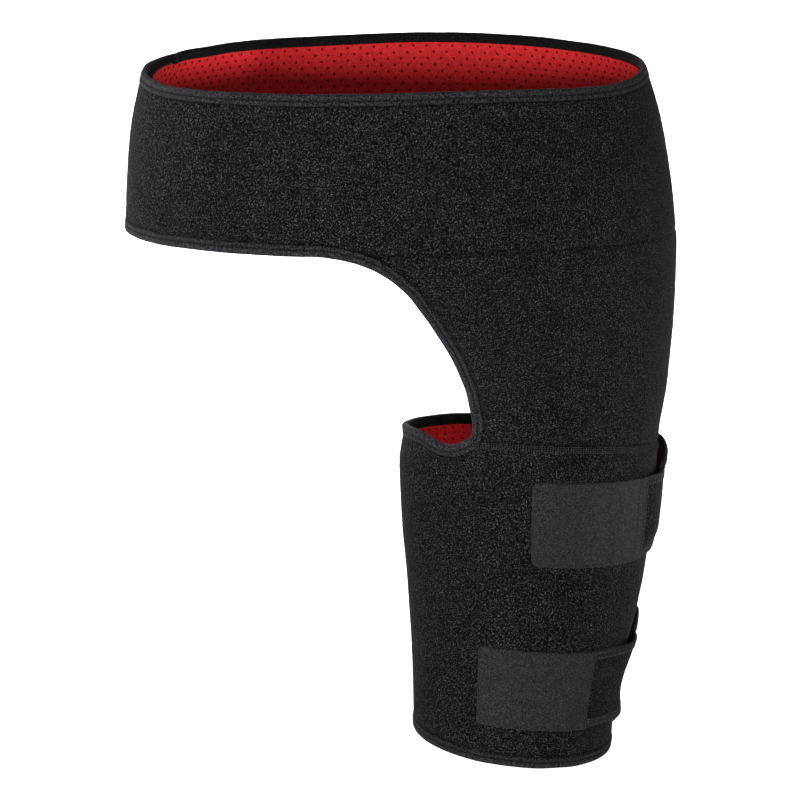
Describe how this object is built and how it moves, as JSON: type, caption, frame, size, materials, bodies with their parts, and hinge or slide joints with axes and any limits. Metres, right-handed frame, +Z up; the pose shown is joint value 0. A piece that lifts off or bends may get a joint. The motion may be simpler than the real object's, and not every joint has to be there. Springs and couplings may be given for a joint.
{
  "type": "hip and thigh compression support",
  "caption": "Waist belt joined by a hip panel to a wrap-round thigh cuff, in lined neoprene with taped edges and hook-and-loop straps, to support the hip, groin and thigh.",
  "frame": {"origin": "middle of the waist hollow, halfway up the belt, on the belt's own axis", "axes": "+Z up along the wearer, -Y to the wearer's front, +X to the supported leg"},
  "size_m": [0.3536, 0.2369, 0.457],
  "materials": {
    "loop_cloth": "black loop-faced neoprene, matt and napped",
    "lining": "red perforated neoprene, matt",
    "edge_tape": "black ribbed binding tape, soft sheen",
    "hook_tape": "dark grey woven hook tape"
  },
  "bodies": {
    "root": {"waist_belt": "loop_cloth", "belt_lining": "lining", "belt_top_binding": "edge_tape", "belt_hook_tab": "hook_tape", "hip_panel": "loop_cloth", "hip_lining": "lining", "leg_opening_binding": "edge_tape", "hip_back_binding": "edge_tape", "thigh_wrap": "loop_cloth", "thigh_lining": "lining", "thigh_bottom_binding": "edge_tape", "wrap_notch_binding": "edge_tape", "upper_strap": "loop_cloth", "lower_strap": "loop_cloth", "upper_hook_tab": "hook_tape", "lower_hook_tab": "hook_tape"}
  },
  "joints": []
}
